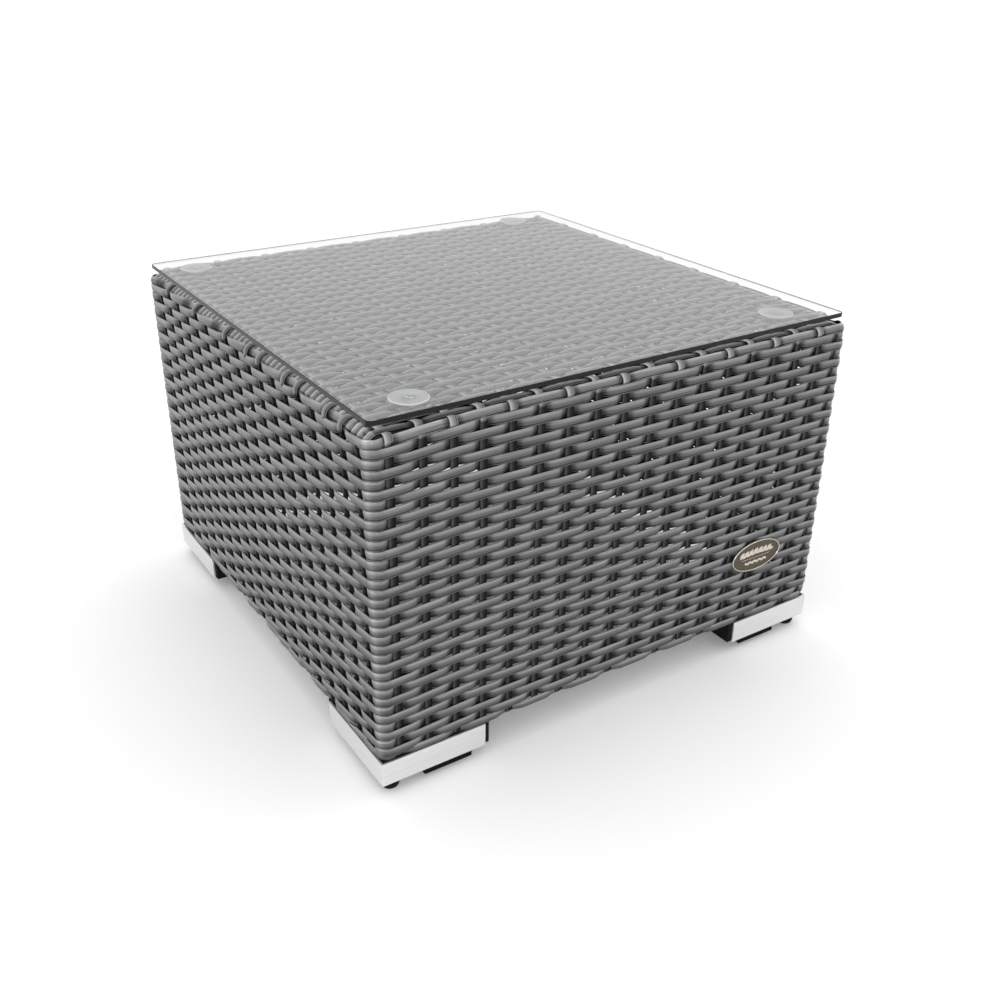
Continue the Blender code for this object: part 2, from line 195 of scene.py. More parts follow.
def corner_share(s):
    """1 where the skin turns a corner, 0 elsewhere."""
    face = np.floor((s + FACE / 2) / FACE)
    off = np.abs(s - face * FACE + QUARTER / 2)
    return 1 - ease(off, QUARTER / 2, QUARTER / 2 + np.where(np.mod(face, 4) == 1, 0.003, 0.008))


def corner_highlight(s):
    """Mask of the painted highlight: 1 on a narrow line where the strands turn a corner, 0 elsewhere."""
    past = np.mod(s, FACE) - STRAIGHT - QUARTER / 3
    return np.exp(-(past / CORNER_HIGHLIGHT_REACH) ** 2)


def crossing(x):
    """From 1 in front of one stake to -1 behind the next; it keeps to the front for most of the way."""
    return np.cos(math.pi * np.clip((x - DIVE[0]) / (DIVE[1] - DIVE[0]), 0, 1))


def stake_places():
    """Distance round the skin of each stake: 18 front, 17 right, 17 back, 18 left."""
    across = FIRST_STAKE + STAKE_PITCH * np.arange(ACROSS + 1)
    number = np.arange(ACROSS + 1)
    drift = STAKE_DRIFT * np.cos(2 * math.pi * (number - 14.6) / ACROSS)
    drift = drift + 0.003 * np.sin(math.pi * number / ACROSS)
    across = across + drift + RANDOM.normal(0, 0.0006, ACROSS + 1)
    front = across + MID - CORNER
    back = 2 * FACE + (MID - CORNER) - across[:ACROSS][::-1]
    right = np.linspace(front[-1], back[0], ACROSS + 2)[1:-1] + RANDOM.normal(0, 0.0008, ACROSS)
    left = 3 * FACE + (MID - CORNER) - LAST_LEFT - LEFT_PITCH * np.arange(ACROSS, -1, -1)
    left = left + RANDOM.normal(0, 0.0006, ACROSS + 1)
    return across[:ACROSS], np.concatenate([front, right, back, left])


WARP_X, STAKE_S = stake_places()
LEFT_START = 3 * FACE - QUARTER / 2
LEFT_END = 4 * FACE - QUARTER / 2


def left_share(s):
    return np.clip((np.mod(s, AROUND) - LEFT_START) / (LEFT_END - LEFT_START), 0, 1)


def lag(s):
    """Rows by which a strand lies lower than its number says: it sags slowly round the back, and recovers in
    front."""
    s = np.mod(s, AROUND)
    return LATE * (np.clip(s / LEFT_START, 0, 1) + (1 - ease(s, -0.02, CATCH_UP)))


def ring_samples():
    """Distances round the skin for one turn, and the swing there of an even and of an odd strand: the even
    ones pass behind stake 0."""
    ends = np.append(STAKE_S, STAKE_S[0] + AROUND)
    where, swing = [], []
    for j in range(STAKES):
        bends = np.floor(ends[j] / FACE) != np.floor((ends[j + 1] + 0.5 * QUARTER) / FACE)
        bends = bends or j in (ACROSS, STAKES - 1) and ends[j + 1] - ends[j] > 0.036
        x = np.arange(0, 1, 1 / (STEPS + EXTRA_STEPS if bends else STEPS))
        where.append(ends[j] + x * (ends[j + 1] - ends[j]))
        swing.append([crossing(x), crossing(1 - x)] if j % 2 else [crossing(1 - x), crossing(x)])
    return np.concatenate(where), np.concatenate(swing, axis=1)


RING_S, RING_SWING = ring_samples()


class Strand:
    """A swept flat strand: its line, the skin's outward direction along it, and its tone."""

    def __init__(self, line, normal, tone, closed=False, width=1.0, roll=0.0, bend=0.0):
        self.line, self.normal, self.tone, self.closed = line, normal, tone, closed
        self.width = np.broadcast_to(width, len(line))
        self.roll = np.broadcast_to(roll, len(line))
        self.bend = np.maximum(np.broadcast_to(bend, len(line)), 1e-3)

    def sections(self):
        line = self.line
        if self.closed:
            ahead, behind = np.roll(line, -1, 0), np.roll(line, 1, 0)
        else:
            ahead = np.concatenate([line[1:], line[-1:]])
            behind = np.concatenate([line[:1], line[:-1]])
        t = ahead - behind
        t /= np.linalg.norm(t, axis=1)[:, None]
        across = np.cross(self.normal, t)
        across /= np.linalg.norm(across, axis=1)[:, None]
        out = np.cross(t, across)
        c, s = np.cos(self.roll)[:, None], np.sin(self.roll)[:, None]
        across, out = across * c + out * s, out * c - across * s
        radius = 1 / self.bend[:, None]
        angle = SECTION[None, :, 0] * self.width[:, None] / radius
        reach = radius + SECTION[None, :, 1]
        wide, high = reach * np.sin(angle), reach * np.cos(angle) - radius
        return line[:, None] + wide[..., None] * across[:, None] + high[..., None] * out[:, None]

    def lengths(self):
        step = np.linalg.norm(np.diff(self.line, axis=0), axis=1)
        last = [np.linalg.norm(self.line[0] - self.line[-1])] if self.closed else []
        return np.concatenate([[0], np.cumsum(np.concatenate([step, last]))])


def strand_piece(name, strands, material):
    """One mesh of all these strands. One UV layer is in metres along and across, one is laid out in lanes to
    bake."""
    k = len(SECTION)
    points, faces, caps, along, around, lane, tone = [], [], [], [], [], [], []
    base, lanes = 0, 0
    for strand in strands:
        n = len(strand.line)
        length = strand.lengths()
        points.append(strand.sections().reshape(-1, 3))
        # Each point's tone times the section's painted shade and painted highlight.
        tone.append((np.broadcast_to(strand.tone, n)[:, None] * SECTION_SHADE_AND_HIGHLIGHT).ravel())
        i = np.arange(n if strand.closed else n - 1)
        j = (i + 1) % n
        q, r = np.arange(k), (np.arange(k) + 1) % k
        quad = np.stack([i[:, None] * k + q, j[:, None] * k + q, j[:, None] * k + r, i[:, None] * k + r], -1)
        faces.append(quad.reshape(-1, 4) + base)
        far = np.stack([length[i], length[i + 1], length[i + 1], length[i]], -1)[:, None]
        along.append(np.broadcast_to(far, quad.shape).reshape(-1, 4))
        girth = np.stack([GIRTH[:-1], GIRTH[:-1], GIRTH[1:], GIRTH[1:]], -1)[None]
        around.append(np.broadcast_to(girth, quad.shape).reshape(-1, 4))
        lane.append(np.repeat(lanes + np.floor(length[i] / LANE), k))
        lanes += int(np.floor(length[i[-1]] / LANE)) + 1
        if not strand.closed:
            caps += [base + np.arange(k), base + (n - 1) * k + np.arange(k)[::-1]]
        base += n * k
    points, faces, along, around, lane = map(np.concatenate, (points, faces, along, around, lane))
    corners = np.concatenate([faces.ravel(), *caps]) if caps else faces.ravel()
    starts = np.concatenate([4 * np.arange(len(faces)), 4 * len(faces) + k * np.arange(len(caps))])
    mesh = bpy.data.meshes.new(name)
    mesh.vertices.add(len(points))
    mesh.vertices.foreach_set("co", points.astype(np.float32).ravel())
    mesh.loops.add(len(corners))
    mesh.loops.foreach_set("vertex_index", corners.astype(np.int32))
    mesh.polygons.add(len(starts))
    mesh.polygons.foreach_set("loop_start", starts.astype(np.int32))
    mesh.update(calc_edges=True)
    mesh.shade_smooth()
    tones = mesh.attributes.new("tone", "FLOAT", "POINT")
    tones.data.foreach_set("value", np.concatenate(tone).astype(np.float32))
    start = np.floor(along[:, :1] / LANE) * LANE
    baked = np.stack([(along - start) / LANE * 0.98 + 0.01,
                      (lane[:, None] + 0.04 + 0.92 * around / GIRTH[-1]) / lanes], -1)
    baked = np.clip(baked, 0, 1)
    for layer, uv in (("strand", np.stack([along, around], -1)), ("OFBake", baked)):
        full = np.zeros((len(corners), 2), np.float32)
        full[:len(faces) * 4] = uv.reshape(-1, 2)
        mesh.uv_layers.new(name=layer).data.foreach_set("uv", full.ravel())
    mesh.materials.append(material)
    obj = bpy.data.objects.new(name, mesh)
    SCENE.collection.objects.link(obj)
    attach(obj, "table")
    return obj


def wander(s, size, waves=9):
    """A slow seeded wave along s, of about this size."""
    total = np.zeros_like(s)
    for n in range(1, waves):
        total = total + RANDOM.normal(0, 1) * np.sin(s * 2 * math.pi * n / AROUND * 3 + RANDOM.uniform(0, 7))
    return total * size / math.sqrt(waves)


def wound_strand(start_label):
    """One strand wound round the sides: it starts at the bottom of the left side, climbs six rows each time
    it passes along that side, and runs out at the rim there."""
    bottom = ROWS + 0.6
    first = LEFT_START + (start_label - bottom) / CLIMB * (LEFT_END - LEFT_START)
    behind = [s for j, s in enumerate(STAKE_S) if (j + start_label) % 2 == 0 and j >= LAST_BACK]
    first = min(behind, key=lambda s: abs(s - first))
    last_label = start_label % CLIMB
    turns = (start_label - last_label) // CLIMB
    end_share = (last_label + 0.05) / CLIMB
    target = LEFT_START + end_share * (LEFT_END - LEFT_START)
    j_end = min((j for j in range(LAST_BACK, STAKES) if (j + last_label) % 2 == 0),
                key=lambda j: abs(STAKE_S[j] - target))
    last_stake = STAKE_S[j_end]
    end = STAKE_S[j_end + 1] + 0.002 if j_end + 1 < STAKES else AROUND + STAKE_S[0] - 0.004
    s = np.concatenate([RING_S + AROUND * turn for turn in range(turns + 1)])
    swing = np.tile(RING_SWING[start_label % 2], turns + 1)
    keep = (s >= first - 1e-6) & (s <= end + AROUND * turns)
    s, swing = s[keep], swing[keep]
    turn = np.floor(s / AROUND)
    level = start_label - CLIMB * turn - CLIMB * left_share(s) + lag(s)
    h = (WAVE + (RIM_WAVE - WAVE) * rim_share(level)) * swing
    corner = corner_share(s)
    push = CORNER_PUSH * np.where(np.abs(np.mod(s, AROUND) - FACE) < 0.1, RIGHT_PUSH, 1)
    h = h * (1 - CORNER_FLAT * corner) + push * corner
    # sink: painted shade, darker where the strand goes behind a stake.
    sink = dive_shade(swing * (1 - corner))
    gone = ease(s, last_stake + AROUND * turns, last_stake + AROUND * turns + 0.012)
    h = h * (1 - gone) - ENDING_DEPTH * gone
    place, out = ring(s)
    line, normal = shell(place, out, row_height(level) + wander(s, 0.00022), h)
    rim = rim_share(level)
    # Painted shade behind the stakes, and painted highlights on the rim and at the corners, over the
    # strand's own random tone.
    tone = strand_tone(s) * sink * (1 + (RIM_HIGHLIGHT - 1) * rim) * (1 + CORNER_HIGHLIGHT * corner_highlight(s))
    return Strand(line, normal, tone, width=1.08 - 0.02 * rim, roll=wander(s, ROLL), bend=rim * RIM_BEND)


def dive_shade(swing):
    """Painted shade along a strand: darker where it goes down behind a stake."""
    return 1 - DIVE_SHADE * ease(-swing, -0.4, 0.9)


def strand_tone(s):
    return 1 + RANDOM.normal(0, 0.04) + wander(s, 0.05, 14)


def bottom_strand():
    place, out = ring(RING_S)
    v = np.full_like(RING_S, LOW_V + 0.0002) + wander(RING_S, 0.0002)
    swing = RING_SWING[1 - ROWS % 2] * (1 - CORNER_FLAT * corner_share(RING_S))
    line, normal = shell(place, out, v, WAVE * swing)
    return Strand(line, normal, strand_tone(RING_S), closed=True, width=0.95, bend=40.0)


def stake_levels(high_v):
    """v samples of a stake from its lower end to high_v, with finer steps over the rim."""
    low = np.arange(STAKE_FOOT, TURN_FROM - 0.001, ROW_PITCH / 4)
    return np.concatenate([low, np.arange(TURN_FROM, high_v, FINE_STEP)])


def stake_swing(j, v, share=0.0):
    """Offset of stake j at height v, in front of the rows that have its own parity."""
    level = level_at(v)
    rim = rim_share(level)
    wave = np.clip(1.6 * np.cos(math.pi * (level + CLIMB * share + j)), -1, 1)
    return (STAKE_SWING + (STRIP_SWING - STAKE_SWING) * rim) * np.sin(math.pi / 2 * wave)


def stake_shade_and_highlight(v):
    """A stake's tone: painted shade makes it dark deep in the sides, a painted highlight makes it bright
    where it crosses the rim, and on the top it has the usual tone.
    """
    level = level_at(v)
    return (STAKE_SHADE + (STRIP_HIGHLIGHT - STAKE_SHADE) * ease(-level, -0.9, -0.4)
            + (TOP_TONE - STRIP_HIGHLIGHT) * ease(-level, 1.6, 2.4)) * (1 + RANDOM.normal(0, 0.04))


def through_stake(j):
    """A stake that runs up the front, over the top and down the back."""
    half = MID - ROUND + TOP_V  # v at the middle of the top
    flat = 0.0220  # v from which it lies on the top
    steps = int((half - flat) / (WEFT_PITCH / 5))
    up = np.concatenate([stake_levels(0.0210), np.linspace(flat, half, steps)])
    x = WARP_X[j]
    sway = wander(up, 0.0004) * np.clip((half - up) / 0.1, 0, 1)
    lines, normals = [], []
    for side, number in ((-1, j), (1, LAST_BACK - j)):
        reach = MID - CORNER + math.sqrt(CORNER ** 2 - max(abs(x) - MID + CORNER, 0) ** 2)
        place = np.stack([x + sway, np.full_like(up, side * reach), 0 * up], -1)
        out = np.zeros_like(place)
        out[:, 1] = side
        line, normal = shell(place, out, up, stake_swing(number, up))
        lines.append(line if side < 0 else line[::-1][1:])
        normals.append(normal if side < 0 else normal[::-1][1:])
    line, normal = np.concatenate(lines), np.concatenate(normals)
    s = np.linspace(0, 1.3, len(line))
    tone = stake_shade_and_highlight(np.append(up, up[::-1][1:]))
    return Strand(line, normal, tone, width=STAKE_WIDTH, roll=wander(s, ROLL))


def side_stake(j):
    """A stake of the left or right side: it turns over the rim, or ends behind the rim's strand."""
    share = float(left_share(STAKE_S[j])) if j > LAST_BACK else 0.0
    top_label = math.ceil(CLIMB * share - 0.12)
    hidden = (j + top_label) % 2 == 1 and top_label - CLIMB * share <= 0.75
    v = stake_levels(0.0060 if hidden else 0.0235)
    h = stake_swing(j, v, share)
    if hidden:
        sink = ease(v, -0.0035, 0.0012)
        h = h * (1 - sink) - HIDDEN_DEPTH * sink
    else:
        start = float(row_height(max(top_label - CLIMB * share, 0.0))) - 0.0065
        lift = ease(v, start, start + 0.003)
        h = h * (1 - lift) + 0.0017 * lift - 0.0050 * ease(v, 0.0120, 0.0205)
    place, out = ring(np.full_like(v, STAKE_S[j]))
    line, normal = shell(place, out, v, h)
    s = np.linspace(0, 0.4, len(v))
    return Strand(line, normal, stake_shade_and_highlight(v), width=STAKE_WIDTH, roll=wander(s, ROLL))


def weft(m):
    """A strand of the top, left to right, whose ends turn down over the rims and tuck behind the rim's
    strand."""
    v_first = FIRST_WEFT + WEFT_PITCH * m
    y = -(MID - ROUND) + (v_first - TOP_V)
    reach = MID - CORNER + math.sqrt(CORNER ** 2 - max(abs(y) - MID + CORNER, 0) ** 2)
    label = -1 - m
    rim = max(rim_share(np.array(float(label))), rim_share(np.array(float(m - WEFTS))))
    size = WAVE + (RIM_WAVE - WAVE) * rim
    steps = np.arange(0, 1, 1 / STEPS)
    x = [WARP_X[j] + steps * (WARP_X[j + 1] - WARP_X[j]) for j in range(ACROSS - 1)]
    swing = [crossing(steps) if (j + label) % 2 else crossing(1 - steps) for j in range(ACROSS - 1)]
    x = np.append(np.concatenate(x), WARP_X[-1])
    swing = np.append(np.concatenate(swing), 1 if (ACROSS - 1 + label) % 2 else -1)
    tail = np.arange(TUCK_V, TOP_V + 0.001, FINE_STEP)
    lines, normals, tones = [], [], []
    for side in (-1, 1):
        half = x < 0 if side < 0 else x >= 0
        inner, h = x[half], swing[half] * size
        if side > 0:
            inner, h = inner[::-1], h[::-1]
        v = TOP_V + reach - np.abs(inner) - ROUND
        out_v = np.concatenate([tail, np.linspace(TOP_V + 0.002, v[0], 6)[:-1]])
        t = ease(out_v, TOP_V, v[0])
        out_h = -0.0003 * (1 - t) + h[0] * t - 0.0024 * (1 - ease(out_v, 0.0085, 0.0155))
        v_all, h_all = np.concatenate([out_v, v]), np.concatenate([out_h, h])
        place = np.tile([side * reach, y, 0.0], (len(v_all), 1))
        out = np.tile([float(side), 0.0, 0.0], (len(v_all), 1))
        line, normal = shell(place, out, v_all, h_all)
        lines.append(line if side < 0 else line[::-1])
        normals.append(normal if side < 0 else normal[::-1])
        # Painted highlight on the ribs that turn over the side rims; painted shade where the strand is
        # behind a stake.
        tone = np.where(v_all < TOP_V + 0.003, RIB_HIGHLIGHT, TOP_TONE * dive_shade(h_all / size))
        tones.append(tone if side < 0 else tone[::-1])
    line, normal = np.concatenate(lines), np.concatenate(normals)
    s = np.linspace(0, 0.6, len(line))
    line[:, 1] += wander(s, 0.00015)
    return Strand(line, normal, strand_tone(s) * np.concatenate(tones), roll=wander(s, ROLL))


# --- materials ---
def material(name, gloss=0.5):
    made = bpy.data.materials.new(name)
    made.use_nodes = True
    tree = made.node_tree
    tree.nodes.clear()
    output = tree.nodes.new("ShaderNodeOutputMaterial")
    shader = tree.nodes.new("ShaderNodeBsdfPrincipled")
    shader.inputs["Specular IOR Level"].default_value = gloss
    tree.links.new(shader.outputs[0], output.inputs["Surface"])
    return made, tree, shader


def node(tree, kind, **values):
    made = tree.nodes.new(kind)
    for key, value in values.items():
        if key in made.inputs:
            made.inputs[key].default_value = value
        else:
            setattr(made, key, value)
    return made


def noise(tree, source, scale, detail):
    """Noise over source, its coordinates scaled by scale."""
    mapping = node(tree, "ShaderNodeMapping")
    mapping.inputs["Scale"].default_value = scale
    tree.links.new(source, mapping.inputs["Vector"])
    made = node(tree, "ShaderNodeTexNoise", Scale=1.0, Detail=detail)
    tree.links.new(mapping.outputs[0], made.inputs["Vector"])
    return made.outputs["Fac"]


def spread(tree, source, low, high, start=0.3, end=0.7):
    """Source mapped from start..end to low..high, and held there beyond them."""
    made = node(tree, "ShaderNodeMapRange")
    for key, value in (("From Min", start), ("From Max", end), ("To Min", low), ("To Max", high)):
        made.inputs[key].default_value = value
    tree.links.new(source, made.inputs["Value"])
    return made.outputs["Result"]


def times(tree, a, b):
    made = node(tree, "ShaderNodeMath", operation="MULTIPLY")
    tree.links.new(a, made.inputs[0])
    tree.links.new(b, made.inputs[1])
    return made.outputs[0]


def paint(tree, shader, colour, factor):
    """Base colour: colour times factor."""
    made = node(tree, "ShaderNodeVectorMath", operation="SCALE")
    made.inputs[0].default_value = colour
    tree.links.new(factor, made.inputs["Scale"])
    tree.links.new(made.outputs[0], shader.inputs["Base Color"])


def bump(tree, shader, height, strength, distance):
    made = node(tree, "ShaderNodeBump", Strength=strength, Distance=distance)
    tree.links.new(height, made.inputs["Height"])
    tree.links.new(made.outputs[0], shader.inputs["Normal"])


def coordinates(tree, kind="Object"):
    return node(tree, "ShaderNodeTexCoord").outputs[kind]


def strand_material():
    made, tree, shader = material("woven_strand")
    uv = node(tree, "ShaderNodeUVMap", uv_map="strand").outputs[0]
    # The tone attribute holds the strands' random tone together with painted shade and painted highlights;
    # it sets the base colour and, through the specular level, dims the gloss where shade is painted.
    tone = node(tree, "ShaderNodeAttribute", attribute_name="tone").outputs["Fac"]
    streaks = noise(tree, uv, (18, 1700, 1), 3)
    blotches = noise(tree, uv, (22, 90, 1), 3)
    grain = times(tree, spread(tree, streaks, 0.62, 1.38), spread(tree, blotches, 0.85, 1.15))
    factor = times(tree, tone, grain)
    paint(tree, shader, (0.108, 0.109, 0.111), factor)
    tree.links.new(spread(tree, tone, 0.01, 0.6, 0.15, 1.3), shader.inputs["Specular IOR Level"])
    tree.links.new(spread(tree, streaks, 0.26, 0.38), shader.inputs["Roughness"])
    shader.inputs["Anisotropic"].default_value = 0.7
    shader.inputs["Anisotropic Rotation"].default_value = 0.25
    tangent = node(tree, "ShaderNodeTangent", direction_type="UV_MAP", uv_map="strand")
    tree.links.new(tangent.outputs[0], shader.inputs["Tangent"])
    bump(tree, shader, streaks, 0.25, 0.0002)
    return made


def aluminium_material():
    made, tree, shader = material("brushed_aluminium")
    where = coordinates(tree)
    streaks = noise(tree, where, (9, 9, 1500), 3)
    specks = noise(tree, where, (500, 500, 900), 2)
    factor = times(tree, spread(tree, streaks, 0.90, 1.05), spread(tree, specks, 0.93, 1.03))
    paint(tree, shader, (0.80, 0.803, 0.806), factor)
    shader.inputs["Metallic"].default_value = 0.85
    tree.links.new(spread(tree, streaks, 0.42, 0.55), shader.inputs["Roughness"])
    bump(tree, shader, streaks, 0.15, 0.0001)
    return made


def grained(name, colour, roughness, metallic=0.0, grain=700, contrast=0.15, gloss=0.5):
    """A plain colour with a fine grain in its tone, roughness and relief."""
    made, tree, shader = material(name, gloss)
    pattern = noise(tree, coordinates(tree), (grain, grain, grain), 3)
    paint(tree, shader, colour, spread(tree, pattern, 1 - contrast, 1 + contrast))
    shader.inputs["Metallic"].default_value = metallic
    tree.links.new(spread(tree, pattern, roughness - 0.06, roughness + 0.06), shader.inputs["Roughness"])
    bump(tree, shader, pattern, 0.1, 0.0002)
    return made


def clear_material(name, colour, roughness, ior=1.5, gloss=0.5):
    """Clear and lit through: light that comes straight from a lamp or the sky passes."""
    made, tree, shader = material(name, gloss)
    pattern = noise(tree, coordinates(tree), (4, 4, 4), 1)
    paint(tree, shader, colour, spread(tree, pattern, 0.99, 1.0))
    shader.inputs["Transmission Weight"].default_value = 1.0
    shader.inputs["Roughness"].default_value = roughness
    shader.inputs["IOR"].default_value = ior
    passing = node(tree, "ShaderNodeBsdfTransparent", Color=(0.93, 0.94, 0.94, 1))
    mix = node(tree, "ShaderNodeMixShader")
    tree.links.new(node(tree, "ShaderNodeLightPath").outputs["Is Shadow Ray"], mix.inputs[0])
    tree.links.new(shader.outputs[0], mix.inputs[1])
    tree.links.new(passing.outputs[0], mix.inputs[2])
    tree.links.new(mix.outputs[0], tree.nodes["Material Output"].inputs["Surface"])
    return made


def finish_nodes(names, made):
    """Give CAD nodes that stay visible their material."""
    for name in names:
        obj = NODES[name]
        obj.data.materials.clear()
        obj.data.materials.append(made)


STRAND = strand_material()
for index, replaced in enumerate(("front_weave", "right_weave", "back_weave")):
    wound = [wound_strand(ROWS + 1 + index * 2 + step) for step in range(2)]
    if index == 0:
        wound.append(bottom_strand())
    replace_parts(strand_piece(f"side_strands_{index + 1}", wound, STRAND), replaced)
side_stakes = [side_stake(j) for j in [*range(ACROSS, 2 * ACROSS + 1), *range(LAST_BACK + 1, STAKES)]]
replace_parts(strand_piece("side_stakes", side_stakes, STRAND), "left_weave")
strand_piece("through_stakes_1", [through_stake(j) for j in range(9)], STRAND)
strand_piece("through_stakes_2", [through_stake(j) for j in range(9, ACROSS)], STRAND)
for index in range(2):
    wefts = [weft(m) for m in range(index * WEFTS // 2, (index + 1) * WEFTS // 2)]
    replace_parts(strand_piece(f"top_strands_{index + 1}", wefts, STRAND), "top_weave")

METAL = aluminium_material()
BLACK = grained("black_plastic", (0.004, 0.004, 0.0045), 0.6, gloss=0.12)
RUBBER = grained("black_rubber", (0.004, 0.004, 0.004), 0.8, gloss=0.1)
ZINC = grained("zinc_steel", (0.55, 0.56, 0.58), 0.35, metallic=1.0)
TUBE = grained("tube_paint", (0.035, 0.036, 0.038), 0.4)
BRONZE = grained("antique_bronze", (0.070, 0.055, 0.040), 0.42, metallic=0.4, grain=900, contrast=0.3)
BRONZE_WORN = grained("worn_bronze", (0.62, 0.57, 0.47), 0.35, metallic=0.8, grain=900, contrast=0.2)
GLASS = clear_material("clear_glass", (0.985, 0.99, 0.988), 0.0, 1.5)
# Painted shade: the edges get a near-black tint so that they show dark.
DARK_PAINTED_GLASS_EDGE = clear_material("glass_edge_painted_dark", (0.0002, 0.00022, 0.00022), 0.3, 1.35, gloss=0.1)
VINYL = clear_material("clear_vinyl", (0.66, 0.67, 0.67), 0.45, 1.4)
VINYL_RIM = grained("vinyl_rim", (0.60, 0.605, 0.61), 0.3)

finish_nodes([f"foot_cover_{c}" for c in CORNERS], METAL)
finish_nodes([f"foot_block_{c}" for c in CORNERS], BLACK)
finish_nodes([f"foot_pad_{c}" for c in CORNERS], RUBBER)
finish_nodes([f"glide_base_{c}" for c in CORNERS], BLACK)
finish_nodes([f"{kind}_{c}" for c in CORNERS for kind in ("threaded_insert", "glide_stud", "foot_bracket")]
             + [f"foot_screw_{c}_{n}" for c in CORNERS for n in (1, 2)], ZINC)
finish_nodes([f"corner_post_{c}" for c in CORNERS] + ["top_cross_bar"]
             + [f"{level}_rail_{side}" for level in ("top", "bottom")
                for side in ("front", "back", "left", "right")], TUBE)

# --- glass, discs and badge ---
GLASS_HALF = 0.2955
GLASS_BOTTOM = 0.405
GLASS_TOP = 0.410
GLASS_CORNER = 0.006
GLASS_GRIND = 0.0005
DISC_PLACES = {"near_left": (-0.235, -0.258), "near_right": (0.233, -0.252),
               "far_left": (-0.251, 0.256), "far_right": (0.227, 0.266)}
# Radius, height and material of each ring: foot, neck, cup with a beaded rim, and the hollow in the middle.
DISC_PROFILE = ((0.0120, 0.4003, 0), (0.0120, 0.4012, 0), (0.0112, 0.4015, 0), (0.0075, 0.4018, 0),
                (0.0075, 0.4024, 0), (0.0090, 0.4028, 0), (0.0172, 0.4034, 1), (0.0188, 0.4037, 1),
                (0.0193, 0.4041, 1), (0.0190, 0.4046, 1), (0.0180, 0.4047, 1), (0.0175, 0.4043, 0),
                (0.0172, 0.4046, 0), (0.0060, 0.4046, 0), (0.0055, 0.4040, 0))
DISC_RIDGES = ((-0.0016, 0, 0.0008, 0.0034), (0.0006, -0.0026, 0.0030, 0.0008))  # middle, then half sizes
RIDGE_HEIGHTS = (0.4038, 0.4045)
BADGE_MIDDLE = (0.1985, 0.132)  # x and z
BADGE_HALF = (0.038, 0.0195)
BADGE_FIELD_Y = -0.3013
# Inset, y and material of each outline, from the back round the raised rim to the field.
BADGE_PROFILE = ((0.0012, -0.3004, 0), (0.0, -0.3011, 0), (0.0001, -0.3018, 1), (0.0005, -0.3022, 1),
                 (0.0010, -0.3022, 1), (0.0014, -0.3018, 1), (0.0017, BADGE_FIELD_Y, 0))


def mesh_piece(name, bm, materials, body, replaced, smooth=True):
    """A piece made of this bmesh, riding on a body in place of one node."""
    bmesh.ops.recalc_face_normals(bm, faces=bm.faces)
    mesh = bpy.data.meshes.new(name)
    bm.to_mesh(mesh)
    bm.free()
    for made in materials:
        mesh.materials.append(made)
    if smooth:
        mesh.shade_smooth()
        mesh.set_sharp_from_angle(angle=math.radians(40))
    obj = bpy.data.objects.new(name, mesh)
    SCENE.collection.objects.link(obj)
    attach(obj, body)
    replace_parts(obj, replaced)


def stack(bm, rings, bands, caps=(0, 0)):
    """Close a stack of loops of points into a body: bands gives each band's material, caps the ends'."""
    verts = [[bm.verts.new(point) for point in loop] for loop in rings]
    n = len(verts[0])
    for low, high, band in zip(verts, verts[1:], bands):
        for k in range(n):
            bm.faces.new((low[k], low[(k + 1) % n], high[(k + 1) % n], high[k])).material_index = band
    bm.faces.new(verts[0]).material_index = caps[0]
    bm.faces.new(verts[-1]).material_index = caps[1]


def glass_pane():
    """The loose pane: polished faces, and ground edges with a near-black tint, painted shade that makes them
    show dark.
    """
    middle = GLASS_HALF - GLASS_CORNER
    rings = []
    for inset, z in ((GLASS_GRIND, GLASS_BOTTOM), (0, GLASS_BOTTOM + GLASS_GRIND),
                     (0, GLASS_TOP - GLASS_GRIND), (GLASS_GRIND, GLASS_TOP)):
        r = GLASS_CORNER - inset
        loop = []
        for quarter in range(4):
            cx = middle * (1 if quarter in (0, 3) else -1)
            cy = middle * (1 if quarter < 2 else -1)
            for step in range(9):
                angle = math.pi / 2 * (quarter + step / 8)
                loop.append((cx + r * math.cos(angle), cy + r * math.sin(angle), z))
        rings.append(loop)
    bm = bmesh.new()
    stack(bm, rings, (1, 1, 1))
    mesh_piece("glass_pane", bm, (GLASS, DARK_PAINTED_GLASS_EDGE), "glass", "glass_top", smooth=False)


def suction_disc(name, x, y):
    """Clear vinyl disc: foot, neck and thin cup with a beaded rim, and two moulded ridges in its hollow."""
    bm = bmesh.new()
    rings = [[(x + r * math.cos(a), y + r * math.sin(a), z) for a in np.linspace(0, math.tau, 49)[:-1]]
             for r, z, _ in DISC_PROFILE]
    stack(bm, rings, [band for _, _, band in DISC_PROFILE[1:]])
    for dx, dy, wide, deep in DISC_RIDGES:
        rings = [[(x + dx + i * wide, y + dy + j * deep, z) for i, j in ((-1, -1), (1, -1), (1, 1), (-1, 1))]
                 for z in RIDGE_HEIGHTS]
        stack(bm, rings, (1,), (1, 1))
    mesh_piece("suction_disc_" + name, bm, (VINYL, VINYL_RIM), "table", "glass_disc_" + name)


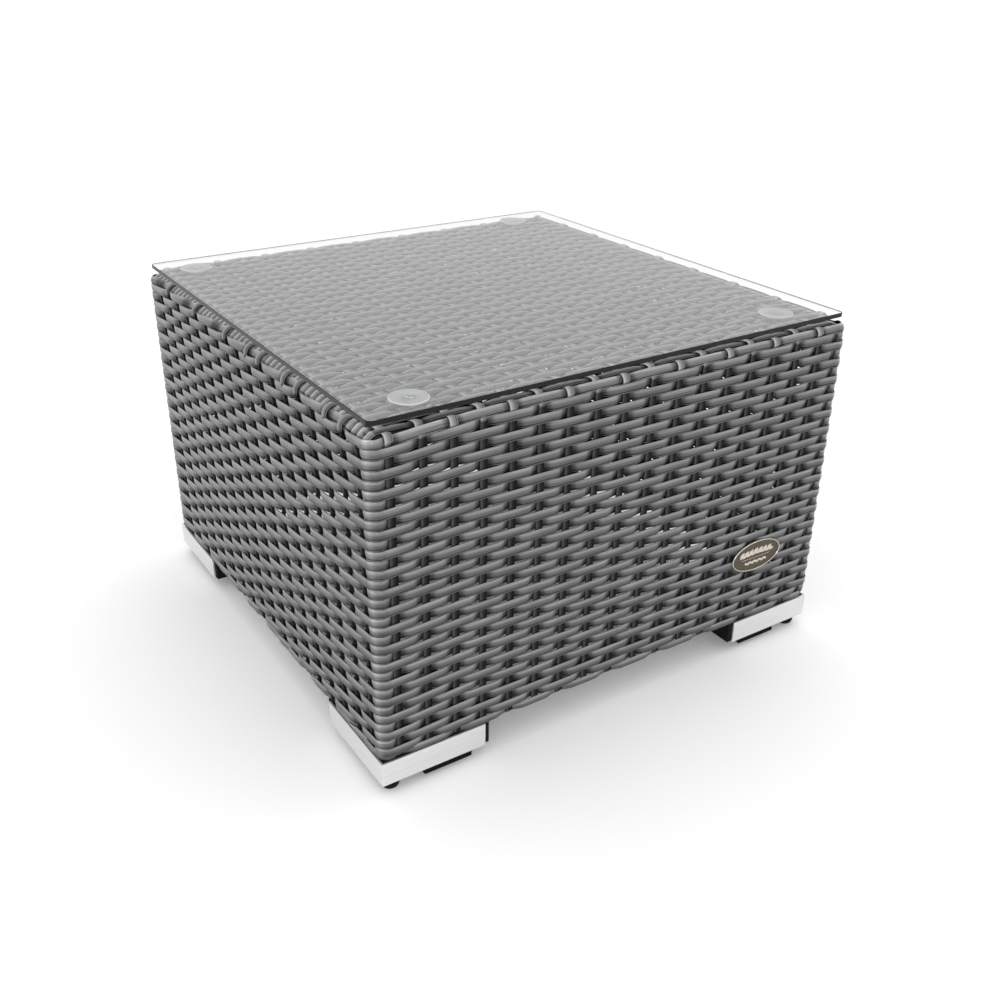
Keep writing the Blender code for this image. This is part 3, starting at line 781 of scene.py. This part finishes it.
def oval_badge():
    """Cast oval badge with a raised rim; its relief is a row of leaves over a bar and a row of beads."""
    cx, cz = BADGE_MIDDLE
    half_x, half_z = BADGE_HALF
    bm = bmesh.new()

    def outline(inset, y):
        return [(cx + (half_x - inset) * math.cos(a), y, cz + (half_z - inset) * math.sin(a))
                for a in np.linspace(0, math.tau, 97)[:-1]]

    outlines = [outline(inset, y) for inset, y, _ in BADGE_PROFILE]
    stack(bm, outlines, [band for _, _, band in BADGE_PROFILE[1:]])

    def relief(points):
        """A small raised shape: its outline, then a narrower crown nearer the viewer."""
        points = np.array(points)
        middle = points.mean(0)
        rings = [[(x, y, z) for x, z in middle + (points - middle) * size]
                 for size, y in ((1.0, BADGE_FIELD_Y + 0.0001), (0.92, BADGE_FIELD_Y - 0.0002),
                                 (0.55, BADGE_FIELD_Y - 0.0004))]
        stack(bm, rings, (1, 1), (1, 1))

    def leaf(x, z, length, tilt, fat=0.30):
        t = np.linspace(0, math.tau, 13)[:-1]
        along, side = np.cos(t) * length / 2, np.sin(t) * np.abs(np.sin(t)) ** 0.5 * length * fat
        c, s = math.cos(tilt), math.sin(tilt)
        relief(np.stack([cx + x + along * c - side * s, cz + z + along * s + side * c], -1))

    for step in range(-3, 4):
        height = 0.0048 - 0.0004 * abs(step)
        leaf(step * 0.0072 - 0.0012, height + 0.0010, 0.0100, 0.95)
        leaf(step * 0.0072 + 0.0024, height - 0.0012, 0.0080, 0.25, 0.24)
    relief([(cx + x, cz + z) for x, z in
            ((-0.023, -0.0020), (0.023, -0.0020), (0.0225, -0.0026), (-0.0225, -0.0026))])
    for step in range(-4, 5):
        leaf(step * 0.0038, -0.0080 - 0.0004 * (step % 2), 0.0056, 0.9 if step % 2 else -0.6)
    mesh_piece("oval_badge", bm, (BRONZE, BRONZE_WORN), "table", "badge")


glass_pane()
for disc, (disc_x, disc_y) in DISC_PLACES.items():
    suction_disc(disc, disc_x, disc_y)
oval_badge()

# --- floor, light and camera ---
FLOOR_HALF = 60.0
WORLD_BRIGHT = (0.11, 0.167, 0.98)  # overhead, and a little behind the table
WORLD_LOW = 0.34
WORLD_HIGH = 1.36
CAMERA_PLACE = (-0.6745, -1.0749, 0.7780)
CAMERA_LENS = 39.65
CAMERA_TURNS = ((-33.43, "Z"), (62.866, "X"), (0.662, "Z"))


def floor():
    mesh = bpy.data.meshes.new("floor")
    corners = [(x * FLOOR_HALF, y * FLOOR_HALF, 0) for x, y in ((-1, -1), (1, -1), (1, 1), (-1, 1))]
    mesh.from_pydata(corners, [], [(0, 1, 2, 3)])
    obj = bpy.data.objects.new("floor", mesh)
    SCENE.collection.objects.link(obj)
    made, tree, shader = material("floor")
    pattern = noise(tree, coordinates(tree), (3, 3, 3), 2)
    paint(tree, shader, (0.93, 0.93, 0.93), spread(tree, pattern, 0.99, 1.0))
    shader.inputs["Roughness"].default_value = 0.9
    shader.inputs["Emission Color"].default_value = (1, 1, 1, 1)
    shader.inputs["Emission Strength"].default_value = 0.10
    mesh.materials.append(made)


def world():
    """Soft studio light all round, brightest overhead."""
    made = bpy.data.worlds.new("studio")
    SCENE.world = made
    made.use_nodes = True
    tree = made.node_tree
    background = tree.nodes["Background"]
    background.inputs["Color"].default_value = (1, 1, 1, 1)
    toward = node(tree, "ShaderNodeVectorMath", operation="DOT_PRODUCT")
    toward.inputs[1].default_value = WORLD_BRIGHT
    tree.links.new(coordinates(tree, "Generated"), toward.inputs[0])
    strength = spread(tree, toward.outputs["Value"], WORLD_LOW, WORLD_HIGH, -0.2, 1)
    tree.links.new(strength, background.inputs["Strength"])


def lamp(name, location, target, size, power):
    data = bpy.data.lights.new(name, "AREA")
    data.shape, data.size, data.energy = "SQUARE", size, power
    obj = bpy.data.objects.new(name, data)
    SCENE.collection.objects.link(obj)
    obj.location = location
    obj.rotation_euler = (Vector(target) - Vector(location)).to_track_quat("-Z", "Y").to_euler()


def camera():
    data = bpy.data.cameras.new("camera")
    data.lens, data.sensor_width = CAMERA_LENS, 36
    obj = bpy.data.objects.new("camera", data)
    SCENE.collection.objects.link(obj)
    place = Matrix.Translation(CAMERA_PLACE)
    for angle, axis in CAMERA_TURNS:
        place = place @ Matrix.Rotation(math.radians(angle), 4, axis)
    obj.matrix_world = place
    SCENE.camera = obj


floor()
world()
lamp("corner_softbox", (-1.7, -2.7, 1.5), (-0.25, -0.25, 0.25), 0.4, 24)
camera()
SCENE.view_settings.view_transform = "Standard"
